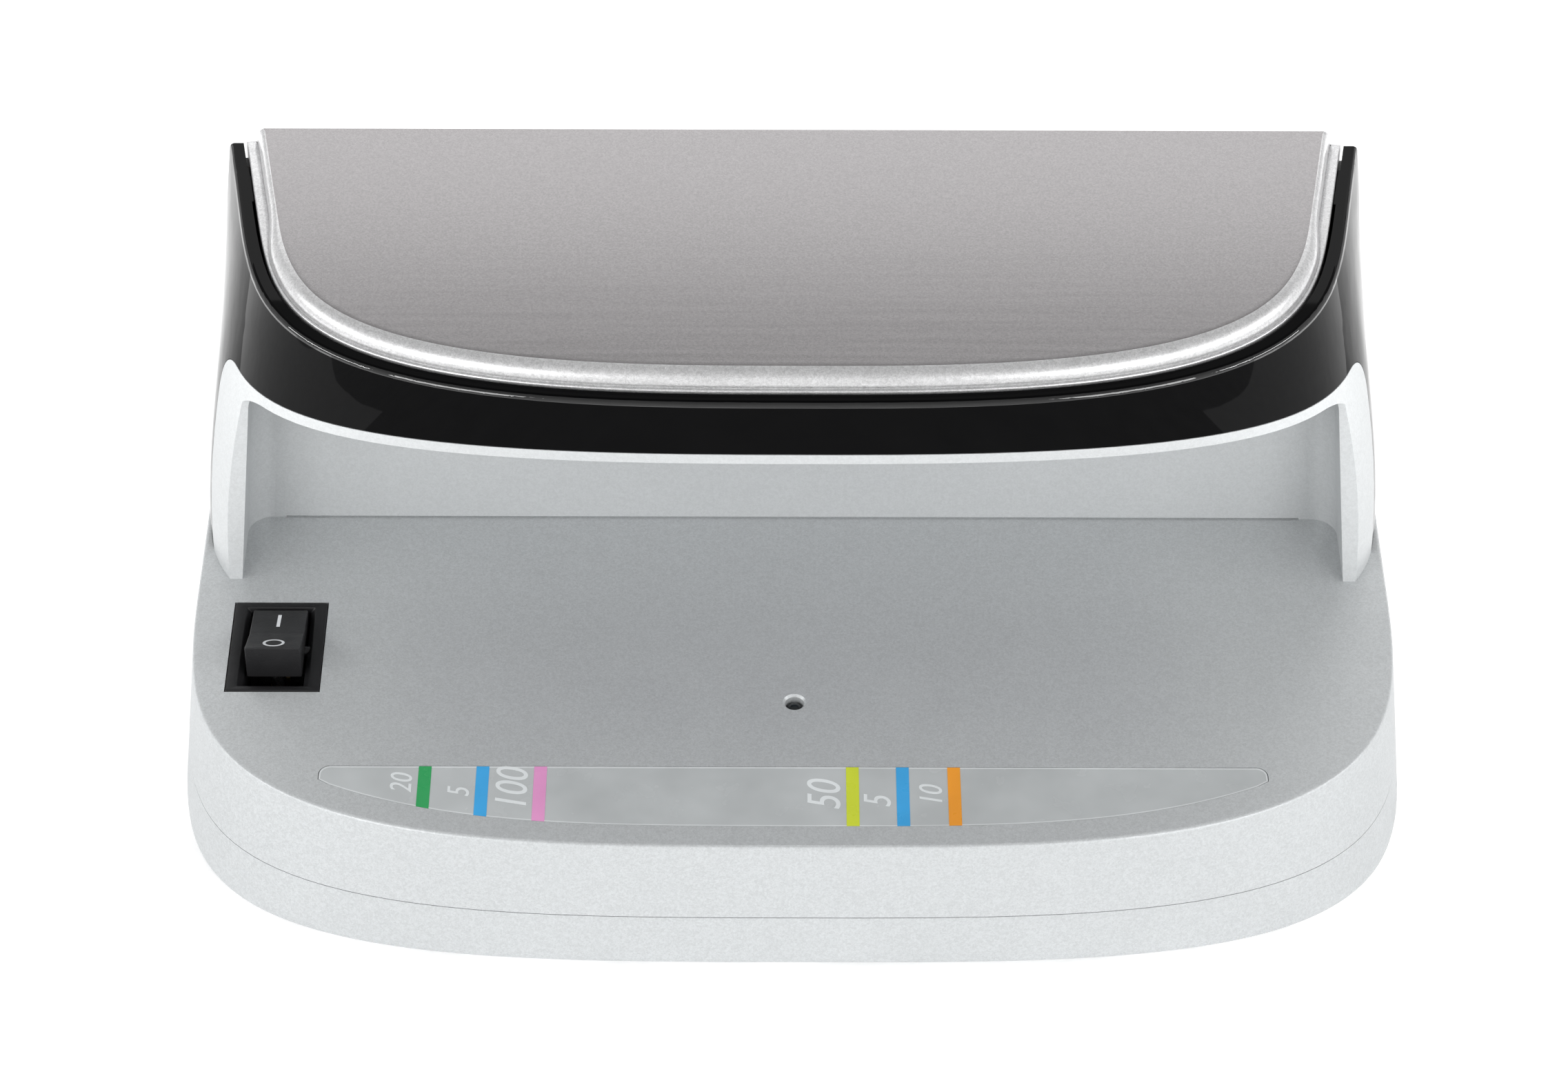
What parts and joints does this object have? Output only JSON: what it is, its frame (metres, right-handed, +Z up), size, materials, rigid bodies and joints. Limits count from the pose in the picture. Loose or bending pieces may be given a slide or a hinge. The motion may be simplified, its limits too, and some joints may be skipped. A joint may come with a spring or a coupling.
{
  "type": "counterfeit bill detector",
  "caption": "Tabletop banknote checker: a bill slides over a silver deck under an arched black hood that holds an ultraviolet tube, with a rocker switch on the deck.",
  "frame": {"origin": "on the table, under the middle of the detector's bounding box", "axes": "+X to the operator's right along the longest side, +Y to the rear, +Z up"},
  "size_m": [0.198, 0.1141, 0.079],
  "materials": {
    "silver_base": "metallic silver paint with fine flake over moulded plastic",
    "silver_frame": "satin silver paint",
    "silver_lid": "brushed-look warm silver paint",
    "gloss_black": "polished piano black",
    "black_plastic": "fine-grained moulded black",
    "dark_rear": "moulded black, spark-eroded grain",
    "rubber": "matte moulded rubber",
    "film": "clear film with printed bars and numbers",
    "steel": "zinc plated",
    "aluminium": "bright rolled",
    "brass": "plain",
    "tube_glass": "dark violet blacklight glass",
    "white_plastic": "moulded white",
    "board": "green solder mask",
    "copper": "varnished winding and tape",
    "led": "clear epoxy",
    "can": "shrink sleeve",
    "wire": "PVC insulation"
  },
  "bodies": {
    "housing": {"base_bottom_cover": "silver_base", "base_top_shell": "silver_base", "rubber_feet": "rubber", "base_screws": "steel", "hood_screws": "steel", "front_screw": "steel", "label_film": "film", "switch_housing": "black_plastic", "switch_contact": "brass", "switch_terminals": "brass", "indicator_led": "led", "indicator_board": "board", "hood_shell": "gloss_black", "front_frame": "silver_frame", "top_lid": "silver_lid", "lid_screws": "steel", "rear_cover": "dark_rear", "rear_cover_screws": "steel", "lamp_holder_left": "white_plastic", "lamp_holder_right": "white_plastic", "lamp_holder_screws": "steel", "lamp_reflector": "aluminium", "reflector_screws": "steel", "inverter_board": "board", "board_screws": "steel", "board_spacers": "white_plastic", "inverter_transformer": "copper", "board_capacitors": "can", "power_transistor": "black_plastic", "heat_sink": "aluminium", "wire_connectors": "white_plastic", "dc_jack": "black_plastic", "dc_jack_pin": "brass", "lamp_wires": "wire", "switch_wires": "wire", "indicator_wires": "wire"},
    "rocker": {"switch_rocker": "black_plastic", "switch_plunger": "steel"},
    "lamp": {"uv_lamp_tube": "tube_glass", "lamp_end_caps": "aluminium", "lamp_pins": "brass"}
  },
  "joints": [
    {"name": "switch_rock", "type": "hinge", "parent": "housing", "child": "rocker", "pos_m": [-0.0827, -0.0104, 0.025], "axis": [1, 0, 0], "range_deg": [0, 38]},
    {"name": "lamp_twist", "type": "hinge", "parent": "housing", "child": "lamp", "pos_m": [0, 0.0112, 0.062], "axis": [1, 0, 0], "range_deg": [0, 90]}
  ]
}
